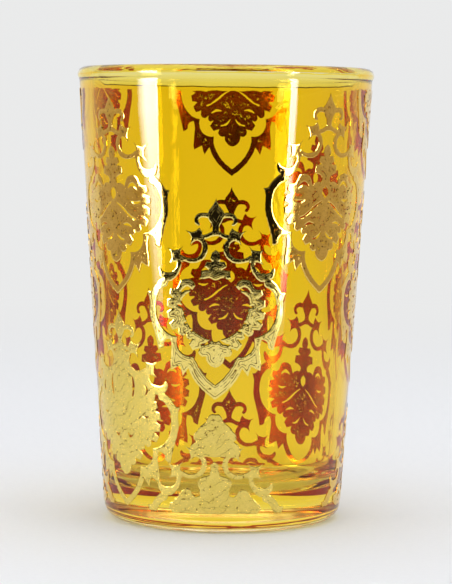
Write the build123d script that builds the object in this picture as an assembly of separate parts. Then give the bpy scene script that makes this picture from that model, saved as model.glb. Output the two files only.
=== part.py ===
from build123d import *
import os
from math import asin, atan2, cos, degrees, hypot, radians, sin, sqrt, tan

# Moroccan tea glass: a pressed glass tumbler with an amber film on its outside and
# gold transfers laid on the film. Millimetres, +Z up, origin under the middle of the
# foot, the front facing -Y.

# The tumbler
glass_height = 90.0
rim_radius = 29.6           # over the bead
foot_radius = 23.55         # outer face of the wall carried down to the table
wall_thickness = 2.3
bead_radius = 1.45          # the round bead at the rim, a little thicker than the wall
base_thickness = 7.0
foot_corner_radius = 3.0
floor_corner_radius = 6.5
foot_ring_width = 4.0       # flat ring that the glass stands on
foot_hollow_depth = 1.0

# The amber film on the outside, about 0.02 thick on a real glass
coat_thickness = 0.1
coat_start_angle = 35.0     # degrees round the foot's corner from the table to its lower edge

# The gold transfers, about 0.03 thick on a real glass
gold_thickness = 0.15
medallion_width = 27.0
medallion_height = 38.5
gold_below_rim = 3.0        # no transfer comes nearer to the rim
top_trim_height = 85.7      # the top row of transfers is cut along this line
foot_trim_height = 4.0      # and the foot row along this one
half_sector = 42.0          # degrees of wall on each side of a medallion's middle line

# The columns of transfers, in degrees from the front towards +X
column_azimuth = {
    "front": 0.0,
    "front_right": 47.0,
    "right": 91.5,
    "back_right": 136.8,
    "back": 180.0,
    "back_left": 223.2,
    "left": 268.5,
    "front_left": 313.0,
}

# A transfer that slid round from its column before it was fired, in degrees
slid_round = {("left", "top"): -12.5}

# Each transfer: its column, its row, the height of its finial's tip, and how it printed
transfers = [
    ("front", "middle", 64.8, "worn"),
    ("front", "foot", 23.2, "filled"),
    ("front_left", "upper", 84.3, "clean"),
    ("front_left", "lower", 42.7, "flooded"),
    ("front_right", "upper", 84.9, "clean"),
    ("back_right", "upper", 86.8, "leaves"),
    ("back_right", "lower", 44.5, "clean"),
    ("back_left", "lower", 44.5, "clean"),
    ("right", "top", 106.5, "clean"),
    ("right", "middle", 65.7, "clean"),
    ("right", "foot", 23.0, "clean"),
    ("back", "top", 106.5, "clean"),
    ("back", "middle", 65.7, "clean"),
    ("back", "foot", 23.0, "clean"),
    ("left", "top", 106.5, "clean"),
    ("left", "middle", 65.7, "clean"),
    ("left", "foot", 23.0, "clean"),
]

# The medallion is drawn at this size, each point as (right of the middle line, below the
# finial's tip), and only its right half. Runs of points are joined at sharp corners.
drawn_width = 27.0
drawn_height = 38.5

bud = [
    [(0.0, 0.0), (0.45, 1.1), (1.15, 2.1), (1.75, 3.1)],
    [(1.75, 3.1), (1.25, 4.2), (0.7, 5.2), (0.6, 6.2), (0.9, 7.3)],
]
first_knot = [
    [(3.1, 5.6), (4.3, 6.4), (5.8, 6.1)],
    [(5.8, 6.1), (4.8, 7.3), (4.9, 9.0)],
    [(4.9, 9.0), (4.0, 8.2), (2.6, 8.4)],
    [(2.6, 8.4), (2.5, 7.0), (3.1, 5.6)],
]
second_knot = [
    [(6.2, 9.0), (7.8, 10.0), (9.4, 9.5)],
    [(9.4, 9.5), (8.6, 11.0), (9.2, 12.6)],
    [(9.2, 12.6), (7.7, 12.1), (6.2, 12.3)],
    [(6.2, 12.3), (6.9, 10.7), (6.2, 9.0)],
]
crescent = [
    [(9.1, 15.2), (11.3, 15.9), (12.7, 17.4), (13.1, 18.0)],
    [(13.1, 18.0), (13.9, 18.1)],
    [(13.9, 18.1), (13.45, 19.4), (13.4, 22.0), (12.7, 24.6), (11.9, 27.0), (11.4, 29.1)],
    [(11.4, 29.1), (10.3, 28.5)],
    [(10.3, 28.5), (10.0, 27.4), (8.9, 27.0)],
    [(8.9, 27.0), (7.5, 26.5)],
    [(7.5, 26.5), (9.2, 26.0), (10.6, 24.9), (11.6, 23.2), (12.0, 21.2), (11.8, 19.2), (11.0, 17.7), (9.6, 16.8)],
    [(9.6, 16.8), (9.1, 15.2)],
]
pointed_frame = [
    [(7.5, 26.5), (7.5, 28.0), (6.8, 29.4), (5.6, 30.1), (4.2, 30.2)],
    [(4.2, 30.2), (4.15, 31.8), (3.5, 33.4), (2.5, 34.9), (1.3, 36.1), (0.0, 37.1)],
    [(0.0, 37.1), (0.0, 38.5)],
    [(0.0, 38.5), (1.9, 37.1), (3.5, 35.5), (4.6, 33.8), (5.2, 32.5)],
    [(5.2, 32.5), (6.3, 34.0)],
    [(6.3, 34.0), (6.9, 32.1)],
    [(6.9, 32.1), (8.7, 33.0)],
    [(8.7, 33.0), (8.8, 31.0), (8.6, 28.8), (8.9, 27.0)],
    [(8.9, 27.0), (7.5, 26.5)],
]
# Strokes: the points of the middle line, and the width at each of them
curl = [(0.9, 3.6), (2.2, 3.2), (3.3, 3.45), (3.75, 4.3), (3.25, 4.95)], [0.8, 0.95, 0.9, 0.8, 0.6]
arm = [(0.2, 6.4), (1.4, 7.1), (2.6, 7.4), (3.8, 7.2)], [0.9, 0.8, 0.9, 1.0]
first_scroll = [
    [(3.3, 7.6), (2.2, 8.6), (2.0, 9.8), (2.6, 11.1), (4.0, 11.9), (5.5, 11.8), (6.9, 11.2)],
    [0.9, 1.0, 1.0, 1.0, 0.9, 0.8, 0.9],
]
second_scroll = [
    [(7.3, 11.6), (7.15, 13.1), (7.9, 14.4), (9.3, 15.1), (10.6, 14.7), (11.2, 13.5)],
    [0.8, 0.85, 1.1, 1.7, 1.4, 0.5],
]
# The leaves inside the frame: notches and the tips of the lobes between them, down the right side
leaf_edge = [
    (0.0, 9.8), (0.95, 11.2), (0.7, 12.1), (2.1, 12.6), (1.3, 13.6), (3.1, 14.5), (1.5, 15.7),
    (1.0, 16.3), (1.3, 17.0), (2.4, 17.0), (3.4, 17.6), (5.5, 15.4), (7.7, 17.3), (9.2, 17.9),
    (8.3, 19.1), (9.8, 20.1), (8.5, 21.2), (9.7, 22.2), (8.1, 23.2), (9.1, 24.3), (7.2, 24.9),
    (7.0, 26.1), (5.5, 25.8), (5.3, 26.9), (4.3, 26.8), (4.9, 28.6), (3.0, 28.6), (3.0, 29.9),
    (1.8, 30.2), (1.5, 31.3), (0.0, 32.3),
]
# The bare gap in the middle of the leaves and the bare lines between them
middle_gap = [(0.0, 17.7), (0.8, 18.8), (0.0, 20.2)]
veins = [
    [[(0.8, 20.7), (2.5, 21.7), (4.3, 23.1), (6.0, 23.9)], [0.15, 0.4, 0.4, 0.15]],
    [[(4.3, 17.9), (5.4, 17.2), (6.6, 17.9)], [0.2, 0.7, 0.2]],
    [[(5.2, 20.4), (6.2, 20.7), (7.3, 20.4)], [0.15, 0.5, 0.15]],
    [[(2.6, 25.0), (3.7, 24.9), (4.8, 25.4)], [0.15, 0.5, 0.15]],
    [[(0.6, 26.6), (1.5, 27.6), (2.7, 27.9)], [0.15, 0.45, 0.15]],
]
# Two prints are heavier: one has a broader point to its frame, the other has its gaps filled
broad_point = [
    [(4.2, 30.2), (3.5, 31.6), (2.3, 33.5), (1.1, 34.8), (0.0, 35.7)],
    [(0.0, 35.7), (0.0, 37.6)],
    [(0.0, 37.6), (1.7, 36.4), (3.2, 34.8), (4.3, 33.2), (4.7, 31.8)],
    [(4.7, 31.8), (4.2, 30.2)],
]
filled_finial = [
    (0.0, -0.2), (1.2, 0.1), (1.7, 1.2), (2.7, 2.0), (3.4, 3.2), (3.5, 4.8), (4.8, 6.2), (4.4, 7.4),
    (2.4, 8.0), (0.0, 8.1),
]
filled_leaf = [
    (0.0, 8.9), (0.7, 9.6), (0.8, 11.6), (2.3, 12.0), (3.3, 13.4), (2.7, 14.8), (3.2, 16.0), (4.2, 15.5),
    (5.0, 14.4), (6.2, 14.6), (7.2, 16.0), (8.4, 17.2), (8.7, 18.6), (6.0, 20.4), (0.0, 20.8),
]
# What rubbing took away, and where gold flooded the gaps
worn_patch = [
    (0.0, 15.6), (3.2, 15.8), (4.6, 17.6), (6.4, 19.0), (6.1, 22.0), (4.9, 24.6), (2.6, 26.3), (0.0, 27.4),
]
flood_patch = [
    (0.0, 6.9), (1.9, 8.6), (2.0, 10.0), (2.7, 11.2), (4.0, 11.9), (5.5, 11.8), (6.9, 12.2), (7.5, 13.9),
    (8.6, 15.3), (8.4, 17.4), (8.7, 19.6), (8.5, 22.0), (7.6, 24.2), (5.6, 25.9), (3.9, 27.9), (0.0, 30.4),
]
flood_gaps = [
    [[(3.1, 12.7), (3.35, 14.6), (3.0, 16.6)], [0.25, 0.7, 0.3]],
    [[(6.3, 14.2), (6.8, 15.2), (6.4, 16.1)], [0.2, 0.5, 0.2]],
    [[(1.3, 23.9), (2.0, 24.6), (2.5, 24.3)], [0.2, 0.5, 0.2]],
    [[(5.5, 20.2), (6.2, 20.5), (6.9, 20.3)], [0.15, 0.4, 0.15]],
]
# Curves are cut into short straight facets
facets_per_span = 2
facets_per_arc = 3

# The middle of the bead lies halfway through the wall. The wall's outer face is the straight line
# that rises from the foot and passes the middle of the bead at half the wall's thickness.
half_wall = wall_thickness / 2
bead_centre = (rim_radius - bead_radius, glass_height - bead_radius)
bead_run = bead_centre[0] - foot_radius
wall_lean = atan2(bead_run, bead_centre[1]) + asin(half_wall / hypot(bead_run, bead_centre[1]))
bead_drop = sqrt(bead_radius**2 - half_wall**2)     # along the wall, from the bead's middle to its foot


def wall_radius(height, inset=0.0):
    """Radius at a height of the line that lies inset inside the wall's outer face."""
    return foot_radius + height * tan(wall_lean) - inset / cos(wall_lean)


def beside(centre, up_wall, outward):
    """Point reached from a centre by going up along the wall and then square out of it."""
    radius = centre[0] + up_wall * sin(wall_lean) + outward * cos(wall_lean)
    height = centre[1] + up_wall * cos(wall_lean) - outward * sin(wall_lean)
    return (radius, height)


def on_circle(centre, radius, angle):
    """Point on a circle of the section, 0 degrees outward and 90 degrees up."""
    return (centre[0] + radius * cos(radians(angle)), centre[1] + radius * sin(radians(angle)))


corner_centre = (wall_radius(foot_corner_radius, foot_corner_radius), foot_corner_radius)


def outside_edges(inset, start_angle):
    """Section of the outside, set in by inset, from the foot's corner to the foot of the bead."""
    corner = foot_corner_radius - inset
    wall_angle = -degrees(wall_lean)
    wall_start = beside(corner_centre, 0.0, corner)
    bead_foot = beside(bead_centre, -bead_drop, half_wall - inset)
    return [
        ThreePointArc(
            on_circle(corner_centre, corner, start_angle),
            on_circle(corner_centre, corner, (start_angle + wall_angle) / 2),
            wall_start,
        ),
        Line(wall_start, bead_foot),
    ]


def coat_section():
    """The amber film: from partway round the foot's corner to the foot of the bead."""
    start_angle = coat_start_angle - 90.0
    outer = outside_edges(0.0, start_angle)
    inner = outside_edges(coat_thickness, start_angle)
    lower_end = Line(inner[0] @ 0, outer[0] @ 0)
    upper_end = Line(outer[-1] @ 1, inner[-1] @ 1)
    return make_face(outer + inner + [lower_end, upper_end])


def glass_section():
    """The tumbler's wall, bead, floor and foot, with the room that the film takes still filled."""
    outer = outside_edges(0.0, -90.0)
    bead_top = beside(bead_centre, bead_radius, 0.0)
    bead_inner_foot = beside(bead_centre, -bead_drop, -half_wall)
    floor_centre_height = base_thickness + floor_corner_radius
    floor_centre = (
        wall_radius(floor_centre_height, wall_thickness + floor_corner_radius),
        floor_centre_height,
    )
    floor_corner_top = beside(floor_centre, 0.0, floor_corner_radius)
    floor_edge = (floor_centre[0], base_thickness)
    ring_outer = (corner_centre[0], 0.0)
    ring_inner = (corner_centre[0] - foot_ring_width, 0.0)
    floor_middle = (0.0, base_thickness)
    hollow_middle = (0.0, foot_hollow_depth)
    floor_corner = ThreePointArc(
        floor_corner_top,
        on_circle(floor_centre, floor_corner_radius, -(90.0 + degrees(wall_lean)) / 2),
        floor_edge,
    )
    return make_face(
        outer
        + [
            ThreePointArc(outer[-1] @ 1, bead_top, bead_inner_foot),
            Line(bead_inner_foot, floor_corner_top),
            floor_corner,
            Line(floor_edge, floor_middle),
            Line(floor_middle, hollow_middle),
            TangentArc(hollow_middle, ring_inner, tangent=(1, 0)),
            Line(ring_inner, ring_outer),
        ]
    )


def turned(section):
    """A section turned round the glass's axis."""
    return revolve(Plane.XZ * section, Axis.Z)


def gold_band(top):
    """The front sector of the layer on the wall that the gold lies in, up to a height."""
    corners = [
        (wall_radius(foot_trim_height), foot_trim_height),
        (wall_radius(foot_trim_height, -gold_thickness), foot_trim_height),
        (wall_radius(top, -gold_thickness), top),
        (wall_radius(top), top),
    ]
    section = make_face(Polyline(*corners, close=True))
    band = revolve(Plane.XZ * section, Axis.Z, revolution_arc=2 * half_sector)
    return Rot(0, 0, -90.0 - half_sector) * band


def laid_on_wall(point, finial_height):
    """Where a drawn point falls in the front view once the transfer is wrapped round the wall."""
    across = point[0] * medallion_width / drawn_width
    height = finial_height - point[1] * medallion_height / drawn_height
    radius = wall_radius(height)
    return (radius * sin(across / radius), height)


def faceted(run):
    """Short straight facets along one run: a line, an arc through three points, or a curve through more."""
    if len(run) == 2:
        return run
    if len(run) == 3:
        edge, count = ThreePointArc(*run), facets_per_arc
    else:
        edge, count = Spline(*run), facets_per_span * (len(run) - 1)
    return [((edge @ (step / count)).X, (edge @ (step / count)).Y) for step in range(count + 1)]


def shape(runs, finial_height):
    """A closed flat shape from runs of drawn points, each run starting where the last one ends."""
    points = [point for run in runs for point in faceted(run)[:-1]]
    return make_face(Polyline(*[laid_on_wall(point, finial_height) for point in points], close=True))


def mirrored_runs(runs):
    """The same runs on the left side, walked back to the start."""
    return [[(-across, below) for across, below in reversed(run)] for run in reversed(runs)]


def stroke(line_and_widths, finial_height):
    """A brush stroke: a curve with a width at each of its points and a rounded far end."""
    points, widths = line_and_widths
    middle = Spline(*points)
    count = facets_per_span * (len(points) - 1)
    left, right = [], []
    for step in range(count + 1):
        span = min(step // facets_per_span, len(points) - 2)
        share = step / facets_per_span - span
        half = (widths[span] + share * (widths[span + 1] - widths[span])) / 2
        spot = middle @ (step / count)
        heading = middle % (step / count)
        left.append((spot.X - heading.Y * half, spot.Y + heading.X * half))
        right.append((spot.X + heading.Y * half, spot.Y - heading.X * half))
    tip = (spot.X + heading.X * half, spot.Y + heading.Y * half)
    corners = left + [tip] + right[::-1]
    return make_face(Polyline(*[laid_on_wall(corner, finial_height) for corner in corners], close=True))


def both_sides(half):
    """A half drawing and its mirror image."""
    return half + mirror(half, about=Plane.YZ)


def patch(points, finial_height):
    """A closed smooth patch, the same on both sides of the middle line."""
    return shape([points] + mirrored_runs([points]), finial_height)


def gold_frame(finial_height, heavier=()):
    """The finial, scrolls, crescents and pointed frame of a medallion, with any heavier outlines."""
    outlines = [first_knot, second_knot, crescent, pointed_frame, *heavier]
    strokes = [curl, arm, first_scroll, second_scroll]
    half = [shape(runs, finial_height) for runs in outlines]
    half += [stroke(line, finial_height) for line in strokes]
    foot_of_bud = [bud[-1][-1], (-bud[-1][-1][0], bud[-1][-1][1])]
    finial = shape(bud + [foot_of_bud] + mirrored_runs(bud), finial_height)
    return both_sides(half[0] + half[1:]) + finial


def gold_leaves(finial_height):
    """The spray of lobed leaves that hangs inside the frame."""
    lobes = [leaf_edge[i : i + 3] for i in range(0, len(leaf_edge) - 2, 2)]
    return shape(lobes + mirrored_runs(lobes), finial_height)


def bare_lines(lines, finial_height):
    """Strokes with no gold, on both sides."""
    half = [stroke(line, finial_height) for line in lines]
    return both_sides(half[0] + half[1:])


def medallion(finial_height, print_state):
    """The flat drawing of one medallion, as it printed."""
    leaves = gold_leaves(finial_height)
    if print_state == "flooded":
        whole = gold_frame(finial_height) + leaves + patch(flood_patch, finial_height)
        return whole - bare_lines(flood_gaps, finial_height)
    if print_state == "filled":
        filled = patch(filled_finial, finial_height) + patch(filled_leaf, finial_height)
        return gold_frame(finial_height) + leaves + filled
    leaves = leaves - bare_lines(veins, finial_height) - patch(middle_gap, finial_height)
    if print_state == "leaves":
        return leaves
    if print_state == "worn":
        leaves = leaves - patch(worn_patch, finial_height)
        return gold_frame(finial_height, [broad_point]) + leaves
    return gold_frame(finial_height) + leaves


def gold_transfer(finial_height, row, print_state):
    """One transfer as a thin solid on the front of the wall."""
    top = top_trim_height if row == "top" else glass_height - gold_below_rim
    prism = extrude(Plane.XZ * medallion(finial_height, print_state), amount=rim_radius)
    return prism & gold_band(top)


os.makedirs("parts", exist_ok=True)

coat = turned(coat_section())
glass = turned(glass_section()) - coat
export_step(glass, "parts/glass_body.step")
export_step(coat, "parts/amber_coat.step")

made = {}
for column, row, finial_height, print_state in transfers:
    kind = (finial_height, row, print_state)
    if kind not in made:
        made[kind] = gold_transfer(*kind)
    azimuth = column_azimuth[column] + slid_round.get((column, row), 0.0)
    placed = Rot(0, 0, azimuth) * made[kind]
    export_step(placed, f"parts/gold_{column}_{row}.step")
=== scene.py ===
import math

import bpy
import numpy as np
from mathutils import Matrix, Vector, noise
from mathutils.geometry import delaunay_2d_cdt
from mathutils.kdtree import KDTree


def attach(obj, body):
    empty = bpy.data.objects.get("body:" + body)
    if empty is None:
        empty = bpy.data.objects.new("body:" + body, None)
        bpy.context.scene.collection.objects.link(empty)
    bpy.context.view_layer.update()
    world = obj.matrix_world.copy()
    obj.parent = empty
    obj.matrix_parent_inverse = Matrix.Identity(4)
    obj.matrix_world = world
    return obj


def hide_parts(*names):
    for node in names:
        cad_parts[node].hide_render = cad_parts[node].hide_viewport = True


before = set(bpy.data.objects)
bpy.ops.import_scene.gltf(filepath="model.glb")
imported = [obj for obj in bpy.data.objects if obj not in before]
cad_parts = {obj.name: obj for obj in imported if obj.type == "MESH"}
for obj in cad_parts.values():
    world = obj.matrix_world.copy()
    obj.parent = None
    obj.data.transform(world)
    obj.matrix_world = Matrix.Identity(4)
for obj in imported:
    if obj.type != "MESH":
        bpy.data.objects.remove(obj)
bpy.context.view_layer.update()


# The tumbler
# One pressed tumbler of clear soda glass with a thick base and a fire-polished rim bead. A film of
# clear amber is baked on its outside, from the foot's corner to the bead, and runs thinly on over
# the bead at the front. Film and glass bend the light as one body: one closed mesh, two finishes.
MM = 0.001
glass_height = 90.0 * MM
rim_radius = 29.6 * MM
foot_radius = 23.55 * MM
wall_thickness = 2.3 * MM
bead_radius = 1.45 * MM
bead_cove = 1.6 * MM                # the bead goes over into the wall in a small cove
base_thickness = 7.0 * MM
foot_corner_radius = 3.0 * MM
floor_corner_radius = 6.5 * MM
floor_ring_depth = 0.10 * MM        # the plunger left faint rings in the floor
floor_ring_spacing = 4.4 * MM
foot_ring_width = 4.0 * MM
foot_hollow_depth = 1.0 * MM
film_start_angle = -55.0
film_at_foot = 0.86                 # the film's thickness low down, as a share of that at middle height
film_at_top = 1.10                  # and under the bead
film_edge_front = 88.6 * MM         # the film's upper edge in front and at the sides
film_edge_back = 86.8 * MM          # and at the back
film_edge_width = 0.26 * MM         # a line along its edge; at the back it is drawn near-black, painted shade for the rim's dark line
film_above_edge = (0.14, 0.04)      # the thin wash above that line, at the front and at the back
film_at_edge = 0.5                  # the film thins towards that line
edge_line_share_back = 2.0                   # the line's share at the back, which the glass colour turns near-black: painted shade
edge_line_share_front = 1.0             # and at the front
film_edge_low = 86.0 * MM           # the film's edge nowhere comes lower
film_back_rise = 4.0                # how fast the edge goes over from front to back
film_back_from = 0.2
film_edge_waves = [(0.06, 3, 1.9), (0.035, 17, 0.8), (0.025, 31, 0.0)]  # mm high, waves round, phase
film_foot_fade = (0.5 * MM, 3.4 * MM)   # it starts thin on the foot's corner
film_foot_least = 0.2               # and is nowhere thinner there than this share
film_over_gold_back = 0.03 * MM     # the film wets the gold's back, so that no air lies between them
pressed_swells = [                  # mm high, waves round, climb in height, share of the phase
    (0.011, 2, 55.0, 1.0),
    (0.007, 5, -90.0, 1.7),
    (0.003, 9, 160.0, 2.3),
]
outside_phase = 0.7                 # the unevenness differs between the wall's two faces
inside_phase = 2.9
even_below = 4.0 * MM               # foot and bead are even: the unevenness grows from here
even_to_uneven = 6.0 * MM           # over this height
uneven_to_bead = 5.0 * MM           # and dies away over this one
glass_segments = 360

half_wall = wall_thickness / 2
bead_centre = (rim_radius - bead_radius, glass_height - bead_radius)
bead_run = bead_centre[0] - foot_radius
wall_lean = math.atan2(bead_run, bead_centre[1])
wall_lean += math.asin(half_wall / math.hypot(bead_run, bead_centre[1]))


def wall_radius(height, inset=0.0):
    """Radius at a height of the line that lies inset inside the wall's outer face."""
    return foot_radius + height * math.tan(wall_lean) - inset / math.cos(wall_lean)


def arc(centre, radius, start, end, count):
    """Points on a circle of the section, in degrees, 0 outward and 90 up."""
    angles = np.radians(np.linspace(start, end, count))
    return [(centre[0] + radius * math.cos(a), centre[1] + radius * math.sin(a)) for a in angles]


def run(start, end, count):
    """Points on a straight line of the section, without its ends."""
    shares = np.linspace(0.0, 1.0, count + 2)[1:-1]
    return [(start[0] + s * (end[0] - start[0]), start[1] + s * (end[1] - start[1])) for s in shares]


def bead_side(side):
    """The cove between wall and bead on one side, from the wall up, and where the bead starts."""
    out = half_wall + bead_cove
    up = -math.sqrt((bead_radius + bead_cove) ** 2 - out**2)
    across = (math.cos(wall_lean), -math.sin(wall_lean))
    along = (math.sin(wall_lean), math.cos(wall_lean))
    centre = tuple(bead_centre[i] + side * out * across[i] + up * along[i] for i in (0, 1))
    lean = math.degrees(wall_lean)
    onto_wall = 180.0 - lean if side > 0.0 else -lean
    onto_bead = math.degrees(math.atan2(bead_centre[1] - centre[1], bead_centre[0] - centre[0]))
    bead_start = onto_bead - 180.0 if side > 0.0 else onto_bead + 180.0
    return arc(centre, bead_cove, onto_wall, onto_bead, count=24), bead_start


def tumbler_section():
    """The section from under the foot up the outside, over the rim and down to the floor's middle."""
    lean = math.degrees(wall_lean)
    corner_centre = (wall_radius(foot_corner_radius, foot_corner_radius), foot_corner_radius)
    ring_inner = corner_centre[0] - foot_ring_width
    under = [(0.0, foot_hollow_depth)]
    for share in np.linspace(0.08, 0.99, num=14):
        under.append((share * ring_inner, foot_hollow_depth * (1.0 - share**2)))
    under += [(ring_inner, 0.0)] + run((ring_inner, 0.0), (corner_centre[0], 0.0), count=3)
    under += arc(corner_centre, foot_corner_radius, -90.0, film_start_angle, count=9)
    outside = arc(corner_centre, foot_corner_radius, film_start_angle, -lean, count=11)[1:]
    outer_cove, outer_bead = bead_side(1.0)
    inner_cove, inner_bead = bead_side(-1.0)
    below_edge = (wall_radius(film_edge_low), film_edge_low)
    outside += run(outside[-1], below_edge, count=106) + [below_edge]
    outside += run(below_edge, outer_cove[0], count=26) + outer_cove
    crest = 90.0 - lean
    outside += arc(bead_centre, bead_radius, outer_bead, crest, count=50)[1:]
    inside = arc(bead_centre, bead_radius, crest, inner_bead, count=34)[1:] + inner_cove[::-1][1:]
    centre_height = base_thickness + floor_corner_radius
    floor_centre = (wall_radius(centre_height, wall_thickness + floor_corner_radius), centre_height)
    corner = arc(floor_centre, floor_corner_radius, -lean, -90.0, count=18)
    inside += run(inside[-1], corner[0], count=90) + corner
    for radius in np.linspace(0.96, 0.0, num=60) * corner[-1][0]:
        ripple = math.cos(2.0 * math.pi * radius / floor_ring_spacing) - 1.0
        inside.append((radius, base_thickness + floor_ring_depth / 2.0 * ripple))
    return under, outside, inside


def pressed_unevenness(angle, height, phase):
    """The slight unevenness that the mould and the fire polish leave in a pressed wall."""
    swell = 0.0
    for size, round_waves, climb, phase_share in pressed_swells:
        swell += size * math.sin(round_waves * angle + climb * height + phase_share * phase)
    return swell * MM


def film_edge(angle):
    """The height of the film's ragged upper edge on its way round, and how far back it is there."""
    towards_back = min(1.0, max(0.0, film_back_rise * math.sin(angle) - film_back_from))
    ragged = sum(size * math.sin(waves * angle + phase) for size, waves, phase in film_edge_waves)
    edge = film_edge_front + (film_edge_back - film_edge_front) * towards_back
    return edge + ragged * MM, towards_back


def film_share(height, angle):
    """The film's thickness at a place on the outside, as a share of its thickness at middle height."""
    edge, towards_back = film_edge(angle)
    if height > edge:
        return film_above_edge[0] + (film_above_edge[1] - film_above_edge[0]) * towards_back
    # the line along the film's edge: its share at the back is drawn near-black, as painted shade
    if height > edge - film_edge_width:
        return edge_line_share_front + (edge_line_share_back - edge_line_share_front) * towards_back
    start, full = film_foot_fade
    share = film_at_foot + (film_at_top - film_at_foot) * height / glass_height
    near_edge = max(0.0, (height - film_edge_low) / (film_edge_front - film_edge_low))
    share += (film_at_edge - share) * near_edge
    return share * min(1.0, max(film_foot_least, (height - start) / (full - start)))


def tumbler_mesh():
    """The closed mesh of the tumbler: film on the outside, bare glass elsewhere."""
    under, outside, inside = tumbler_section()
    section = under + outside + inside
    film_first = len(under) - 1
    film_last = len(under) + len(outside) - 1
    verts, rings, films = [], [], []
    for index, (radius, height) in enumerate(section):
        if radius == 0.0:
            rings.append([len(verts)])
            verts.append((0.0, 0.0, height))
            films.append(0.0)
            continue
        rings.append(list(range(len(verts), len(verts) + glass_segments)))
        on_outside = film_first <= index <= film_last
        phase = outside_phase if on_outside else inside_phase
        under_bead = bead_centre[1] - 2.0 * bead_radius
        fade = min(1.0, max(0.0, (height - even_below) / even_to_uneven))
        fade *= min(1.0, max(0.0, (under_bead - height) / uneven_to_bead))
        lift = film_over_gold_back * fade if on_outside else 0.0
        for segment in range(glass_segments):
            angle = 2.0 * math.pi * segment / glass_segments
            r = radius + lift
            if index > film_first:
                r += fade * pressed_unevenness(angle, height, phase)
            verts.append((r * math.cos(angle), r * math.sin(angle), height))
            films.append(film_share(height, angle))
    faces, finishes = [], []
    for index in range(len(section) - 1):
        low, high = rings[index], rings[index + 1]
        filmed = film_first <= index < film_last
        for segment in range(glass_segments):
            following = (segment + 1) % glass_segments
            if len(low) == 1:
                faces.append((low[0], high[following], high[segment]))
            elif len(high) == 1:
                faces.append((low[segment], low[following], high[0]))
            else:
                faces.append((low[segment], low[following], high[following], high[segment]))
            finishes.append(1 if filmed else 0)
    mesh = bpy.data.meshes.new("tea_glass")
    mesh.from_pydata(verts, [], faces)
    mesh.polygons.foreach_set("material_index", finishes)
    mesh.attributes.new("film", "FLOAT", "POINT").data.foreach_set("value", films)
    mesh.shade_smooth()
    mesh.update()
    return mesh


def finish_nodes(name):
    """A new finish with its node tree, its shader and its output."""
    finish = bpy.data.materials.new(name)
    finish.use_nodes = True
    nodes, links = finish.node_tree.nodes, finish.node_tree.links
    return finish, nodes, links, nodes["Principled BSDF"], nodes["Material Output"]


def noise_node(nodes, links, scale, stretch=(1.0, 1.0, 1.0), detail=3.0, roughness=0.5):
    """A noise in the piece's own metres, stretched along its axes."""
    place = nodes.new("ShaderNodeTexCoord")
    mapping = nodes.new("ShaderNodeMapping")
    mapping.inputs["Scale"].default_value = stretch
    texture = nodes.new("ShaderNodeTexNoise")
    texture.inputs["Scale"].default_value = scale
    texture.inputs["Detail"].default_value = detail
    texture.inputs["Roughness"].default_value = roughness
    links.new(place.outputs["Object"], mapping.inputs["Vector"])
    links.new(mapping.outputs["Vector"], texture.inputs["Vector"])
    return texture


def ramp(nodes, links, source, stops):
    """A colour ramp over a value: stops of (place, colour)."""
    node = nodes.new("ShaderNodeValToRGB")
    while len(node.color_ramp.elements) < len(stops):
        node.color_ramp.elements.new(0.5)
    for element, (place, colour) in zip(node.color_ramp.elements, stops):
        element.position = place
        element.color = (*colour, 1.0)
    links.new(source, node.inputs["Fac"])
    return node.outputs["Color"]


def spread(nodes, links, source, low, high):
    """A value between 0.3 and 0.7 spread over another range."""
    node = nodes.new("ShaderNodeMapRange")
    node.inputs["From Min"].default_value = 0.3
    node.inputs["From Max"].default_value = 0.7
    node.inputs["To Min"].default_value = low
    node.inputs["To Max"].default_value = high
    links.new(source, node.inputs["Value"])
    return node.outputs["Result"]


def bump(nodes, links, height, depth, strength, shader):
    """Fine relief on a shader's surface."""
    node = nodes.new("ShaderNodeBump")
    node.inputs["Distance"].default_value = depth
    node.inputs["Strength"].default_value = strength
    links.new(height, node.inputs["Height"])
    links.new(node.outputs["Normal"], shader.inputs["Normal"])
    return node


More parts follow.
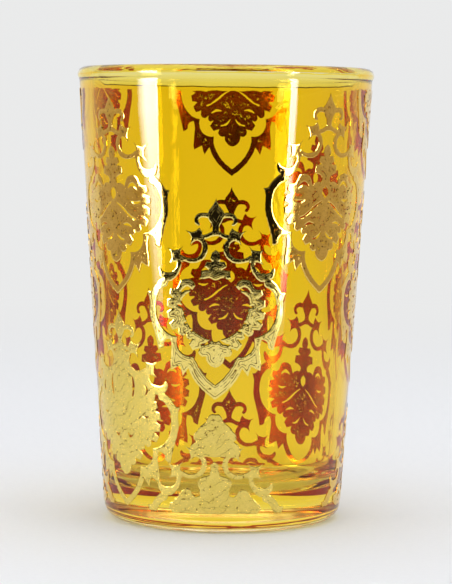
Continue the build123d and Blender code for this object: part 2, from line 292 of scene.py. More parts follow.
def glass_finish(name, colours, shadow_colour, filmed):
    """Clear or filmed glass: the colour drifts a little, and a lamp's light goes through it."""
    finish, nodes, links, shader, output = finish_nodes(name)
    drift = noise_node(nodes, links, scale=60.0, stretch=(1.0, 1.0, 0.25))
    colour = ramp(nodes, links, drift.outputs["Fac"], [(drift_low, colours[0]), (drift_high, colours[1])])
    if filmed:
        thickness = nodes.new("ShaderNodeAttribute")
        thickness.attribute_name = "film"
        of_thickest = nodes.new("ShaderNodeMath")
        of_thickest.operation = "DIVIDE"
        of_thickest.inputs[1].default_value = edge_line_share_back
        links.new(thickness.outputs["Fac"], of_thickest.inputs[0])
        stops = []
        for share in film_shares:
            stops.append((share / edge_line_share_back, tuple(c**share for c in colours[1])))
        # the last stop is painted shade: the near-black line along the film's edge at the back
        tint = ramp(nodes, links, of_thickest.outputs["Value"], stops + [(edge_line_shade_place, edge_line_painted_shade)])
        evened = nodes.new("ShaderNodeMix")
        evened.data_type = "RGBA"
        evened.blend_type = "MULTIPLY"
        evened.inputs[0].default_value = 1.0
        links.new(tint, evened.inputs[6])
        darker = tuple(a / b for a, b in zip(colours[0], colours[1]))
        drifts = [(drift_low, darker), (drift_high, (1.0, 1.0, 1.0))]
        links.new(ramp(nodes, links, drift.outputs["Fac"], drifts), evened.inputs[7])
        colour = evened.outputs[2]
    links.new(colour, shader.inputs["Base Color"])
    smear = noise_node(nodes, links, scale=220.0, stretch=(1.0, 1.0, 0.5), detail=4.0)
    links.new(spread(nodes, links, smear.outputs["Fac"], low=0.0, high=0.03), shader.inputs["Roughness"])
    shader.inputs["IOR"].default_value = glass_index
    shader.inputs["Specular Tint"].default_value = (*face_on_mirror, 1.0)
    shader.inputs["Transmission Weight"].default_value = 1.0
    path = nodes.new("ShaderNodeLightPath")
    through = nodes.new("ShaderNodeBsdfTransparent")
    through.inputs["Color"].default_value = (*shadow_colour, 1.0)
    mix = nodes.new("ShaderNodeMixShader")
    links.new(path.outputs["Is Shadow Ray"], mix.inputs["Fac"])
    links.new(shader.outputs["BSDF"], mix.inputs[1])
    links.new(through.outputs["BSDF"], mix.inputs[2])
    links.new(mix.outputs["Shader"], output.inputs["Surface"])
    return finish


glass_index = 1.5
drift_low = 0.35                    # the span of the noise over which a colour drifts
drift_high = 0.65
face_on_mirror = (0.38, 0.40, 0.43)     # how much the faces mirror of what stands straight before them
clear_colours = [(0.97, 0.98, 0.965), (0.985, 0.99, 0.98)]
clear_shadow = (0.86, 0.82, 0.55)
amber_colours = [(0.94, 0.57, 0.0085), (0.97, 0.62, 0.0105)]
amber_shadow = (0.90, 0.74, 0.13)
film_shares = (0.0, 0.1, 0.25, 0.45, 0.7, 1.0, 1.2)     # thicknesses at which the film's colour is set
# painted shade: the near-black of the line along the film's edge at the back, standing in for the rim's dark
# line
edge_line_painted_shade = (0.006, 0.003, 0.001)
edge_line_shade_place = 0.95                 # the share of the thickest film at which it reaches that painted shade
bare_glass = glass_finish("bare_glass", clear_colours, clear_shadow, filmed=False)
filmed_glass = glass_finish("amber_filmed_glass", amber_colours, amber_shadow, filmed=True)

tea_glass = bpy.data.objects.new("tea_glass", tumbler_mesh())
bpy.context.scene.collection.objects.link(tea_glass)
tea_glass.data.materials.append(bare_glass)
tea_glass.data.materials.append(filmed_glass)
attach(tea_glass, "root")
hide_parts("glass_body", "amber_coat")


# The gold transfers
# Each is a film of bright gold, printed on paper, slid wet on to the amber film and fired there.
# The print stands a little proud of the film, with rounded edges and a slightly lumpy face. The
# outlines are those of the part's solids, with their short facets rounded off.
gold_thickness = 0.15 * MM
gold_edge_height = 0.12 * MM
gold_edge_run = 0.13 * MM
print_waver = 0.075 * MM            # how far the print's edges wander
print_waver_grain = 0.55 * MM
print_seed = 7                      # the waver is the same in every run
gold_lumps = [(2.4 * MM, 0.03), (0.9 * MM, 0.05)]   # their widths, and how they change round the glass
gold_lump_height = 0.008            # in mm
corner_turn = math.radians(62.0)    # a sharper turn of the outline stays a corner
outline_slack = 0.012 * MM
outline_step = 0.2 * MM
face_step = 0.34 * MM
face_from_edge = 0.36 * MM
edge_rings = [(0.12 * MM, 1), (0.26 * MM, 2)]   # rows of points along the edge: depth, and every how many
edge_crease = math.radians(48.0)
weld_step = 0.001                   # in mm: points nearer than this are one
faces_out = 0.9                     # the outer face's normals point outward at least by this share
ring_clear = 0.95                   # a row's points keep this share of its depth from every edge
noise.seed_set(print_seed)


def outline_loops(node):
    """The azimuth of a gold solid, and the loops round its outer face, unrolled, gold on their left."""
    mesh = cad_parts[node].data
    mesh.calc_loop_triangles()
    points = np.array([v.co for v in mesh.vertices])
    triangles = np.array([t.vertices for t in mesh.loop_triangles])
    rounded = np.round(points / (weld_step * MM)).astype(np.int64)
    keys, merged = np.unique(rounded, axis=0, return_inverse=True)
    merged = merged.reshape(-1)
    corners = points[triangles]
    normals = np.cross(corners[:, 1] - corners[:, 0], corners[:, 2] - corners[:, 0])
    normals /= np.linalg.norm(normals, axis=1)[:, None] + 1e-30
    middles = corners.mean(axis=1)
    outward = middles[:, :2] / np.linalg.norm(middles[:, :2], axis=1)[:, None]
    facing = (normals[:, :2] * outward).sum(axis=1) > faces_out
    middle = middles[facing][:, :2].sum(axis=0)
    azimuth = math.atan2(middle[0], -middle[1])
    edges = set()
    for a, b, c in merged[triangles[facing]]:
        for edge in ((a, b), (b, c), (c, a)):
            if (edge[1], edge[0]) in edges:
                edges.remove((edge[1], edge[0]))
            else:
                edges.add(edge)
    following = {}
    for a, b in sorted(edges):
        following.setdefault(a, []).append(b)
    flat = keys * weld_step * MM
    turn = np.arctan2(flat[:, 0], -flat[:, 1]) - azimuth
    turn = (turn + math.pi) % (2.0 * math.pi) - math.pi
    across = turn * np.array([wall_radius(z) for z in flat[:, 2]])
    loops = []
    while following:
        start = min(following)
        loop, spot = [], start
        while spot in following:
            loop.append((across[spot], flat[spot, 2]))
            nexts = following[spot]
            spot_next = nexts.pop()
            if not nexts:
                del following[spot]
            spot = spot_next
        if len(loop) > 2:
            loops.append(np.array(loop))
    return azimuth, loops


def slimmed(line):
    """An open line without the points that lie on the straight between their neighbours."""
    keep = [0, len(line) - 1]
    spans = [(0, len(line) - 1)]
    while spans:
        first, last = spans.pop()
        if last - first < 2:
            continue
        along = line[last] - line[first]
        length = math.hypot(*along)
        offset = line[first + 1 : last] - line[first]
        if length > 1e-9:
            away = np.abs(along[0] * offset[:, 1] - along[1] * offset[:, 0]) / length
        else:
            away = np.hypot(offset[:, 0], offset[:, 1])
        far = int(away.argmax())
        if away[far] > outline_slack:
            middle = first + 1 + far
            keep.append(middle)
            spans += [(first, middle), (middle, last)]
    return line[sorted(keep)]


def rounded_loop(loop):
    """A loop with its facets rounded into curves, and its sharp corners kept."""
    far = int(np.hypot(*(loop - loop[0]).T).argmax())
    loop = np.vstack([slimmed(loop[: far + 1])[:-1], slimmed(np.vstack([loop[far:], loop[:1]]))[:-1]])
    before, after = loop - np.roll(loop, 1, axis=0), np.roll(loop, -1, axis=0) - loop
    turn = np.arctan2(before[:, 0] * after[:, 1] - before[:, 1] * after[:, 0], (before * after).sum(axis=1))
    length_before = np.hypot(before[:, 0], before[:, 1]) + 1e-12
    length_after = np.hypot(after[:, 0], after[:, 1]) + 1e-12
    heading = before / length_before[:, None] * length_after[:, None]
    heading += after / length_after[:, None] * length_before[:, None]
    heading /= np.hypot(heading[:, 0], heading[:, 1])[:, None] + 1e-12
    sharp = np.abs(turn) > corner_turn
    points = []
    for i in range(len(loop)):
        j = (i + 1) % len(loop)
        length = length_after[i]
        leave = after[i] if sharp[i] else heading[i] * length
        arrive = after[i] if sharp[j] else heading[j] * length
        count = max(1, int(round(length / outline_step)))
        for step in range(count):
            s = step / count
            points.append(
                (2 * s**3 - 3 * s**2 + 1) * loop[i] + (s**3 - 2 * s**2 + s) * leave
                + (3 * s**2 - 2 * s**3) * loop[j] + (s**3 - s**2) * arrive
            )
    return np.array(points)


def wavering(loop, azimuth):
    """A loop with the small waver of a print. Near places move alike, so thin lines stay open."""
    moved = []
    for x, y in loop:
        push = noise.noise_vector(Vector((x, y, azimuth * MM)) / print_waver_grain)
        moved.append((x + print_waver * push.x, y + print_waver * push.y))
    return np.array(moved)


def edge_distance(points, edge_tree):
    """How far each point is from the outline."""
    return np.array([edge_tree.find((x, y, 0.0))[2] for x, y in points])


def rows_inside(starts, ends):
    """Staggered rows of points inside the outline."""
    low, high = starts.min(axis=0), starts.max(axis=0)
    across = np.arange(low[0], high[0], face_step)
    points = []
    for row, height in enumerate(np.arange(low[1], high[1], face_step * math.sqrt(0.75))):
        spans = (starts[:, 1] > height) != (ends[:, 1] > height)
        share = (height - starts[spans, 1]) / (ends[spans, 1] - starts[spans, 1])
        crossings = np.sort(starts[spans, 0] + share * (ends[spans, 0] - starts[spans, 0]))
        spots = across + (row % 2) * face_step / 2
        held = np.searchsorted(crossings, spots) % 2 == 1
        points += [(x, height) for x in spots[held]]
    return np.array(points)


def gold_mesh(node):
    """The mesh of one transfer: a lumpy face with rounded edges, and a smooth back on the film."""
    azimuth, loops = outline_loops(node)
    loops = [wavering(rounded_loop(loop), azimuth) for loop in loops]
    starts = np.vstack(loops)
    ends = np.vstack([np.roll(loop, -1, axis=0) for loop in loops])
    normal = np.stack([-(ends - starts)[:, 1], (ends - starts)[:, 0]], axis=1)
    normal /= np.hypot(normal[:, 0], normal[:, 1])[:, None] + 1e-12
    edge_tree = KDTree(2 * len(starts))
    for number, (x, y) in enumerate(np.vstack([starts, (starts + ends) / 2])):
        edge_tree.insert((x, y, 0.0), number)
    edge_tree.balance()
    fill = [starts]
    for depth, every in edge_rings:
        ring = ((starts + ends) / 2 + normal * depth)[::every]
        fill.append(ring[edge_distance(ring, edge_tree) > ring_clear * depth])
    grid = rows_inside(starts, ends)
    fill.append(grid[edge_distance(grid, edge_tree) > face_from_edge])
    flat = np.vstack(fill) / MM
    fences, first = [], 0
    for loop in loops:
        fence = list(range(first, first + len(loop)))
        area = (loop[:, 0] * np.roll(loop[:, 1], -1) - loop[:, 1] * np.roll(loop[:, 0], -1)).sum()
        fences.append(fence if area > 0.0 else fence[::-1])
        first += len(loop)
    spots, _, faces, _, _, within = delaunay_2d_cdt([Vector(p) for p in flat], [], fences, 1, 1e-6)
    spots = np.array(spots) * MM
    faces = np.array([face for face, held in zip(faces, within) if len(held) % 2 == 1])
    used = np.unique(faces)
    renumber = np.full(len(spots), -1)
    renumber[used] = np.arange(len(used))
    spots, faces = spots[used], renumber[faces]
    count = len(spots)
    depth = edge_distance(spots, edge_tree)
    dome = np.sin(np.minimum(depth / gold_edge_run, 1.0) * math.pi / 2)
    face_points, back_points = [], []
    for (across, height), rise in zip(spots, dome):
        radius = wall_radius(height)
        turn = azimuth + across / radius
        lump = 0.0
        for width, own in gold_lumps:
            lump += noise.noise(Vector((across, height, azimuth * own)) / width) * gold_lump_height
        proud = gold_edge_height + (gold_thickness - gold_edge_height) * rise + lump * MM * rise
        for points, lift in ((face_points, proud), (back_points, 0.0)):
            r = radius + lift * math.cos(wall_lean)
            points.append((r * math.sin(turn), -r * math.cos(turn), height - lift * math.sin(wall_lean)))
    edges = {}
    for a, b, c in faces.tolist():
        for edge in ((a, b), (b, c), (c, a)):
            edges[edge] = edges.get(edge, 0) + 1
    rim = [(a, b) for a, b in edges if (b, a) not in edges]
    solid = [tuple(f) for f in faces.tolist()]
    solid += [(a + count, c + count, b + count) for a, b, c in faces.tolist()]
    solid += [(b, a, a + count, b + count) for a, b in rim]
    mesh = bpy.data.meshes.new(node)
    mesh.from_pydata(face_points + back_points, [], solid)
    backs = [0] * len(faces) + [1] * len(faces) + [0] * len(rim)
    mesh.polygons.foreach_set("material_index", backs)
    mesh.attributes.new("edge_depth", "FLOAT", "POINT").data.foreach_set("value", np.tile(depth / MM, 2))
    mesh.shade_smooth()
    mesh.set_sharp_from_angle(angle=edge_crease)
    mesh.update()
    return mesh


def thin_line(nodes, links, source, half_width):
    """1 away from where a value is zero, 0 on a line of this half width there."""
    away = nodes.new("ShaderNodeMath")
    away.operation = "ABSOLUTE"
    links.new(source, away.inputs[0])
    line = nodes.new("ShaderNodeMapRange")
    line.inputs["From Min"].default_value = 0.5 * half_width
    line.inputs["From Max"].default_value = 1.5 * half_width
    links.new(away.outputs["Value"], line.inputs["Value"])
    return line.outputs["Result"]


def calculated(nodes, links, operation, first, second):
    """A sum, product or other reckoning of a value with another value or a number."""
    node = nodes.new("ShaderNodeMath")
    node.operation = operation
    links.new(first, node.inputs[0])
    if isinstance(second, float):
        node.inputs[1].default_value = second
    else:
        links.new(second, node.inputs[1])
    return node.outputs["Value"]


def broken(nodes, links, line, scale, kept):
    """A line that is missing in patches: a patch noise decides where."""
    patches = noise_node(nodes, links, scale)
    gone = nodes.new("ShaderNodeMapRange")
    gone.inputs["From Min"].default_value = kept
    gone.inputs["From Max"].default_value = kept + patch_edge
    links.new(patches.outputs["Fac"], gone.inputs["Value"])
    return calculated(nodes, links, "MAXIMUM", line, gone.outputs["Result"])


def engraving(nodes, links, insets):
    """The drawing's fine inner lines, which run beside the edges and fail here and there."""
    depth = nodes.new("ShaderNodeAttribute")
    depth.attribute_name = "edge_depth"
    lines = None
    for number, inset in enumerate(insets):
        beside = calculated(nodes, links, "SUBTRACT", depth.outputs["Fac"], inset)
        line = thin_line(nodes, links, beside, engraved_half_width)
        line = broken(nodes, links, line, scale=520.0 + 90.0 * number, kept=engraving_kept)
        lines = line if lines is None else calculated(nodes, links, "MINIMUM", lines, line)
    return lines


def hairlines(nodes, links, across, spacing):
    """Hairline cracks, about square to a direction and this far apart."""
    place = nodes.new("ShaderNodeTexCoord")
    along = nodes.new("ShaderNodeVectorMath")
    along.operation = "DOT_PRODUCT"
    along.inputs[1].default_value = Vector(across) / spacing
    links.new(place.outputs["Object"], along.inputs[0])
    wander = noise_node(nodes, links, scale=260.0, detail=4.0, roughness=0.6)
    shift = calculated(nodes, links, "MULTIPLY", wander.outputs["Fac"], crack_wander)
    count = calculated(nodes, links, "ADD", along.outputs["Value"], shift)
    nearest = calculated(nodes, links, "PINGPONG", count, 0.5)
    line = thin_line(nodes, links, nearest, crack_half_width)
    return broken(nodes, links, line, scale=330.0, kept=lines_kept)


def bare_veins(nodes, links, shader, output):
    """Opens fine winding lines in the wide leaves of a print, where no gold took."""
    wander = noise_node(nodes, links, scale=760.0, detail=2.0)
    winding = calculated(nodes, links, "SUBTRACT", wander.outputs["Fac"], 0.5)
    line = thin_line(nodes, links, winding, vein_half_width)
    line = broken(nodes, links, line, scale=420.0, kept=lines_kept)
    depth = nodes.new("ShaderNodeAttribute")
    depth.attribute_name = "edge_depth"
    narrow = calculated(nodes, links, "LESS_THAN", depth.outputs["Fac"], veins_from_edge)
    bare = nodes.new("ShaderNodeBsdfTransparent")
    mix = nodes.new("ShaderNodeMixShader")
    links.new(calculated(nodes, links, "MAXIMUM", line, narrow), mix.inputs["Fac"])
    links.new(bare.outputs["BSDF"], mix.inputs[1])
    links.new(shader.outputs["BSDF"], mix.inputs[2])
    links.new(mix.outputs["Shader"], output.inputs["Surface"])


def gold_finish(name, colours, roughness, grain, insets=(), cracks_across=(), veined=False):
    """Bright gold: a fine grain, pinholes, duller patches, the drawing's lines and hairline cracks."""
    finish, nodes, links, shader, output = finish_nodes(name)
    shader.inputs["Metallic"].default_value = 1.0
    tone = noise_node(nodes, links, scale=420.0, detail=5.0, roughness=0.6)
    colour = ramp(nodes, links, tone.outputs["Fac"], [(drift_low, colours[0]), (drift_high, colours[1])])
    dull = noise_node(nodes, links, scale=700.0, stretch=(1.0, 1.0, 0.6), detail=4.0, roughness=0.6)
    links.new(spread(nodes, links, dull.outputs["Fac"], *roughness), shader.inputs["Roughness"])
    fine = noise_node(nodes, links, scale=3600.0, roughness=0.6)
    relief = bump(nodes, links, fine.outputs["Fac"], grain_depth, grain, shader)
    speckle = noise_node(nodes, links, scale=4200.0, detail=2.0)
    whole = spread(nodes, links, speckle.outputs["Fac"], low=0.72, high=1.25)
    holes = noise_node(nodes, links, scale=1700.0, detail=1.0)
    pinholes = nodes.new("ShaderNodeMapRange")
    pinholes.inputs["From Min"].default_value = pinhole_edge[0]
    pinholes.inputs["From Max"].default_value = pinhole_edge[1]
    links.new(holes.outputs["Fac"], pinholes.inputs["Value"])
    whole = calculated(nodes, links, "MINIMUM", whole, pinholes.outputs["Result"])
    if insets:
        whole = calculated(nodes, links, "MINIMUM", whole, engraving(nodes, links, insets))
    if cracks_across:
        cracks = hairlines(nodes, links, cracks_across, crack_spacing)
        whole = calculated(nodes, links, "MINIMUM", whole, cracks)
    blend = nodes.new("ShaderNodeMix")
    blend.data_type = "RGBA"
    blend.inputs[6].default_value = (*rubbed_colour, 1.0)
    links.new(whole, blend.inputs[0])
    links.new(colour, blend.inputs[7])
    links.new(blend.outputs[2], shader.inputs["Base Color"])
    groove = nodes.new("ShaderNodeBump")
    groove.inputs["Distance"].default_value = groove_depth
    groove.inputs["Strength"].default_value = groove_strength
    links.new(whole, groove.inputs["Height"])
    links.new(groove.outputs["Normal"], relief.inputs["Normal"])
    if veined:
        bare_veins(nodes, links, shader, output)
    return finish


engraved_half_width = 0.05              # widths and depths of the print's lines, in mm
veins_from_edge = 0.72
engraved_insets = (0.44, 0.84)
vein_half_width = 0.022                 # widths in the noise or crack count that draws the line
crack_half_width = 0.026
crack_wander = 3.2
lines_kept = 0.49                       # below this value of the patch noise a line shows
engraving_kept = 0.50
patch_edge = 0.06
crack_spacing = 1.5 * MM
rising_cracks = (-0.39, 0.42, 0.82)     # the cracks of the filled transfers rise towards the front
grain_depth = 0.02 * MM
groove_depth = 0.03 * MM
groove_strength = 0.2
pinhole_edge = (0.27, 0.31)
rubbed_colour = (0.16, 0.075, 0.01)     # pinholes and rubbed lines
clean_colours = [(0.79, 0.51, 0.10), (0.87, 0.58, 0.135)]
worn_colours = [(0.92, 0.72, 0.18), (0.98, 0.79, 0.24)]
filled_colours = [(0.84, 0.64, 0.135), (0.90, 0.69, 0.17)]
back_colours = [(0.72, 0.15, 0.006), (0.80, 0.19, 0.01)]
clean_gold = gold_finish("bright_gold", clean_colours, roughness=(0.03, 0.10), grain=0.13, veined=True)
worn_gold = gold_finish("worn_gold", worn_colours, roughness=(0.01, 0.05), grain=0.05, insets=engraved_insets)
filled_gold = gold_finish(
    "crackled_gold", filled_colours, roughness=(0.14, 0.26), grain=0.2, cracks_across=rising_cracks
)
gold_back = gold_finish("gold_behind_film", back_colours, roughness=(0.10, 0.22), grain=0.25, veined=True)
faces_of_gold = {
    "gold_front_middle": worn_gold,
    "gold_front_left_lower": filled_gold,
    "gold_front_foot": filled_gold,
}

for node in sorted(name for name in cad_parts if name.startswith("gold_")):
    transfer = bpy.data.objects.new(node.replace("gold_", "transfer_"), gold_mesh(node))
    bpy.context.scene.collection.objects.link(transfer)
    transfer.data.materials.append(faces_of_gold.get(node, clean_gold))
    transfer.data.materials.append(gold_back)
    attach(transfer, "root")
    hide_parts(node)


# The table and the room
# A table covered with pale matt paper, which goes over into a pale room without a line, and one
# large soft lamp above. The paper keeps the glass's shadow and the amber light that falls through.
table_reach = 6.0
table_gap = 0.05 * MM               # the foot touches the table only here and there
table_fades = (0.10, 0.60)          # how far off the table starts and ends going over into the room
room_colour = (0.822, 0.826, 0.826)
paper_colours = [(0.785, 0.795, 0.825), (0.80, 0.81, 0.84)]
table = bpy.data.meshes.new("table")
corners = [(x * table_reach, y * table_reach, -table_gap) for x, y in ((-1, -1), (1, -1), (1, 1), (-1, 1))]
table.from_pydata(corners, [], [(0, 1, 2, 3)])
table_top = bpy.data.objects.new("table", table)
bpy.context.scene.collection.objects.link(table_top)
paper, nodes, links, shader, output = finish_nodes("pale_paper")
fibre = noise_node(nodes, links, scale=900.0, detail=4.0)
fibres = ramp(nodes, links, fibre.outputs["Fac"], [(0.3, paper_colours[0]), (0.7, paper_colours[1])])
links.new(fibres, shader.inputs["Base Color"])
shader.inputs["Roughness"].default_value = 0.9
place = nodes.new("ShaderNodeTexCoord")
distance = nodes.new("ShaderNodeVectorMath")
distance.operation = "LENGTH"
links.new(place.outputs["Object"], distance.inputs[0])
far = nodes.new("ShaderNodeMapRange")
far.interpolation_type = "SMOOTHSTEP"
far.inputs["From Min"].default_value = table_fades[0]
far.inputs["From Max"].default_value = table_fades[1]
links.new(distance.outputs["Value"], far.inputs["Value"])
glow = nodes.new("ShaderNodeEmission")
glow.inputs["Color"].default_value = (*room_colour, 1.0)
path = nodes.new("ShaderNodeLightPath")
mirrored = path.outputs["Is Glossy Ray"]
in_glass = calculated(nodes, links, "MAXIMUM", mirrored, path.outputs["Is Transmission Ray"])
seen = calculated(nodes, links, "MAXIMUM", path.outputs["Is Camera Ray"], in_glass)
mix = nodes.new("ShaderNodeMixShader")
links.new(calculated(nodes, links, "MULTIPLY", far.outputs["Result"], seen), mix.inputs["Fac"])
links.new(shader.outputs["BSDF"], mix.inputs[1])
links.new(glow.outputs["Emission"], mix.inputs[2])
links.new(mix.outputs["Shader"], output.inputs["Surface"])
table.materials.append(paper)

world = bpy.data.worlds.new("pale_room")
bpy.context.scene.world = world
world.use_nodes = True
room = world.node_tree.nodes["Background"]
room.inputs["Color"].default_value = (*room_colour, 1.0)
room.inputs["Strength"].default_value = 1.0

lamp = bpy.data.lights.new("lamp_above", "AREA")
lamp.size = 0.8
lamp.energy = 3.2
lamp_above = bpy.data.objects.new("lamp_above", lamp)
lamp_above.location = (0.1, -0.1, 1.0)
bpy.context.scene.collection.objects.link(lamp_above)


# The windows
# Two tall windows stand to the left and right. Their mirror images are the bright stripes on the
# glass: bright above, narrower and fading towards the table. Each has three edges, in degrees, at
# three heights: dim at the outer one, bright at the middle and inner ones.
window_distance = 0.19
window_heights = (0.0, 0.066, 0.12)
window_outer_level = 0.12
window_fade = (-0.01, 0.08)         # the heights between which the daylight grows to full strength
window_colour = (0.93, 0.95, 1.0)
faces_to_far_gold = 5.5             # light from the far gold has passed more glass faces than this
dimmed_by_far_gold = 0.75
windows = [
    ("window_left", [(-53.0, -51.0, -46.8), (-64.0, -57.0, -46.8), (-64.0, -57.0, -46.8)], 45.0),
    ("window_right", [(54.5, 52.5, 48.5), (57.2, 55.2, 51.0), (57.2, 55.2, 51.0)], 41.0),
]


def beside_glass(azimuth, distance, height):
    """A place round the glass: degrees from the front towards +X, metres."""
    turn = math.radians(azimuth)
    return (distance * math.sin(turn), -distance * math.cos(turn), height)


def mirrored_only(finish, nodes, links, output, glow):
    """Makes a glowing finish one that only mirrors show: other rays pass it."""
    path = nodes.new("ShaderNodeLightPath")
    in_mirror = calculated(nodes, links, "GREATER_THAN", path.outputs["Glossy Depth"], 0.5)
    unscattered = calculated(nodes, links, "LESS_THAN", path.outputs["Diffuse Depth"], 0.5)
    mirrored = calculated(nodes, links, "MULTIPLY", in_mirror, unscattered)
    unseen = nodes.new("ShaderNodeBsdfTransparent")
    mix = nodes.new("ShaderNodeMixShader")
    links.new(mirrored, mix.inputs["Fac"])
    links.new(unseen.outputs["BSDF"], mix.inputs[1])
    links.new(glow.outputs["Emission"], mix.inputs[2])
    links.new(mix.outputs["Shader"], output.inputs["Surface"])
    finish.cycles.emission_sampling = "NONE"
    return path


def stand_beside(name, mesh, finish):
    """Puts a window or drape into the room, out of the picture."""
    piece = bpy.data.objects.new(name, mesh)
    bpy.context.scene.collection.objects.link(piece)
    mesh.materials.append(finish)
    for seen_by in ("visible_camera", "visible_diffuse", "visible_volume_scatter", "visible_shadow"):
        setattr(piece, seen_by, False)


for name, sides, brightness in windows:
    corners = []
    for height, azimuths in zip(window_heights, sides):
        corners += [beside_glass(azimuth, window_distance, height) for azimuth in azimuths]
    window = bpy.data.meshes.new(name)
    panes = [(low, low + 1, low + 4, low + 3) for low in (0, 1, 3, 4)]
    window.from_pydata(corners, [], panes)
    levels = [window_outer_level, 1.0, 1.0] * len(window_heights)
    window.attributes.new("sheer", "FLOAT", "POINT").data.foreach_set("value", levels)
    daylight, nodes, links, shader, output = finish_nodes(name)
    place = nodes.new("ShaderNodeTexCoord")
    apart = nodes.new("ShaderNodeSeparateXYZ")
    links.new(place.outputs["Object"], apart.inputs["Vector"])
    rise = nodes.new("ShaderNodeMapRange")
    rise.interpolation_type = "SMOOTHSTEP"
    rise.inputs["From Min"].default_value = window_fade[0]
    rise.inputs["From Max"].default_value = window_fade[1]
    rise.inputs["To Max"].default_value = brightness
    links.new(apart.outputs["Z"], rise.inputs["Value"])
    glow = nodes.new("ShaderNodeEmission")
    glow.inputs["Color"].default_value = (*window_colour, 1.0)
    path = mirrored_only(daylight, nodes, links, output, glow)
    passed = path.outputs["Transmission Depth"]
    far_gold = calculated(nodes, links, "GREATER_THAN", passed, faces_to_far_gold)
    dimmed = calculated(nodes, links, "MULTIPLY", far_gold, -dimmed_by_far_gold)
    level = calculated(nodes, links, "ADD", dimmed, 1.0)
    sheer = nodes.new("ShaderNodeAttribute")
    sheer.attribute_name = "sheer"
    level = calculated(nodes, links, "MULTIPLY", sheer.outputs["Fac"], level)
    links.new(calculated(nodes, links, "MULTIPLY", rise.outputs["Result"], level), glow.inputs["Strength"])
    stand_beside(name, window, daylight)


# The drapes
# Cloth lies on the near part of the table and hangs far in front of the glass, black in the middle
# and brownish grey to the sides. The gold that faces it mirrors it and looks dark. In light that
# is led about inside the glass it shows as dark brown.
drape_inner = 0.235
drape_dark_from = 0.285             # where the cloth on the table has gone over from pale to dark
drape_outer = 1.5
drape_top = 1.3
drape_reach = 120                   # degrees to each side of the front
drape_step = 5                      # degrees from one strip of cloth to the next
drape_lying = 2.0 * MM              # cloth lower than this lies on the table
drape_hangs_dark = (0.02, 0.10)     # the hanging cloth goes over from pale to dark between these heights
drape_pale = (0.72, 0.70, 0.66)
drape_in_glass = (0.22, 0.15, 0.11)
drape_shades = [                    # by share of the half turn from the front to the back
    (0.0, (0.012, 0.010, 0.009)),
    (0.27, (0.016, 0.013, 0.011)),
    (0.36, (0.45, 0.36, 0.29)),
    (0.60, (0.56, 0.49, 0.43)),
]
verts, faces = [], []
for azimuth in range(-drape_reach, drape_reach + 1, drape_step):
    for distance, height in ((drape_inner, MM), (drape_outer, MM), (drape_outer, drape_top)):
        verts.append(beside_glass(azimuth, distance, height))
for first in range(0, len(verts) - 3, 3):
    faces += [(first, first + 1, first + 4, first + 3), (first + 1, first + 2, first + 5, first + 4)]
drapes = bpy.data.meshes.new("drapes")
drapes.from_pydata(verts, [], faces)
cloth, nodes, links, shader, output = finish_nodes("drape_cloth")
place = nodes.new("ShaderNodeTexCoord")
apart = nodes.new("ShaderNodeSeparateXYZ")
links.new(place.outputs["Object"], apart.inputs["Vector"])
forward = calculated(nodes, links, "MULTIPLY", apart.outputs["Y"], -1.0)
turn = calculated(nodes, links, "ARCTAN2", apart.outputs["X"], forward)
aside = calculated(nodes, links, "ABSOLUTE", turn, 0.0)
half_turns = calculated(nodes, links, "DIVIDE", aside, math.pi)
shade = ramp(nodes, links, half_turns, drape_shades)
glow = nodes.new("ShaderNodeEmission")
path = mirrored_only(cloth, nodes, links, output, glow)
entered = calculated(nodes, links, "GREATER_THAN", path.outputs["Transmission Depth"], 0.5)
near_side = calculated(nodes, links, "LESS_THAN", path.outputs["Transmission Depth"], faces_to_far_gold)
in_thickness = calculated(nodes, links, "MULTIPLY", entered, near_side)
warmed = nodes.new("ShaderNodeMix")
warmed.data_type = "RGBA"
warmed.inputs[7].default_value = (*drape_in_glass, 1.0)
links.new(in_thickness, warmed.inputs[0])
links.new(shade, warmed.inputs[6])
lifted = nodes.new("ShaderNodeMapRange")
lifted.inputs["From Min"].default_value = drape_hangs_dark[0]
lifted.inputs["From Max"].default_value = drape_hangs_dark[1]
links.new(apart.outputs["Z"], lifted.inputs["Value"])
lying = calculated(nodes, links, "LESS_THAN", apart.outputs["Z"], drape_lying)
outward = nodes.new("ShaderNodeVectorMath")
outward.operation = "LENGTH"
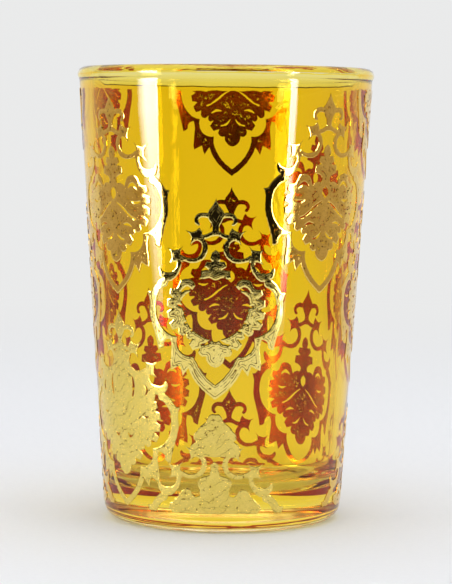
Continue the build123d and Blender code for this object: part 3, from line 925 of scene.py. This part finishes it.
links.new(place.outputs["Object"], outward.inputs[0])
darkened = nodes.new("ShaderNodeMapRange")
darkened.interpolation_type = "SMOOTHSTEP"
darkened.inputs["From Min"].default_value = drape_inner
darkened.inputs["From Max"].default_value = drape_dark_from
links.new(outward.outputs["Value"], darkened.inputs["Value"])
lying_dark = calculated(nodes, links, "MULTIPLY", lying, darkened.outputs["Result"])
hung = calculated(nodes, links, "MAXIMUM", lifted.outputs["Result"], lying_dark)
skirt = nodes.new("ShaderNodeMix")
skirt.data_type = "RGBA"
skirt.inputs[6].default_value = (*drape_pale, 1.0)
links.new(hung, skirt.inputs[0])
links.new(warmed.outputs[2], skirt.inputs[7])
links.new(skirt.outputs[2], glow.inputs["Color"])
stand_beside("drapes", drapes, cloth)


# The camera
# It stands less than half a metre off, lower than the rim and a little to the right of the front
# column, with a long lens and a slight roll, as the photograph's edges say.
picture_width = 452.0
focal_pixels = 2313.0
camera_distance = 0.4642
camera_height = 0.0771
camera_azimuth = 3.4
camera_pitch = 3.936
camera_roll = 0.544
aim_right = 0.00043

lens = bpy.data.cameras.new("camera")
lens.sensor_fit = "HORIZONTAL"
lens.sensor_width = 36.0
lens.lens = focal_pixels / picture_width * lens.sensor_width
lens.clip_start = 0.01
lens.clip_end = 50.0
camera = bpy.data.objects.new("camera", lens)
bpy.context.scene.collection.objects.link(camera)
yaw = math.radians(camera_azimuth) - math.atan2(aim_right, camera_distance)
turned = Matrix.Rotation(yaw, 4, "Z") @ Matrix.Rotation(math.radians(90.0 - camera_pitch), 4, "X")
turned = turned @ Matrix.Rotation(math.radians(camera_roll), 4, "Z")
stand = beside_glass(camera_azimuth, camera_distance, camera_height)
camera.matrix_world = Matrix.Translation(stand) @ turned
bpy.context.scene.camera = camera
bpy.context.scene.view_settings.view_transform = "Standard"

# Light is led on and on inside thick glass, so it is followed through more turns than elsewhere.
bpy.context.scene.cycles.max_bounces = 32
bpy.context.scene.cycles.glossy_bounces = 24
bpy.context.scene.cycles.transmission_bounces = 24
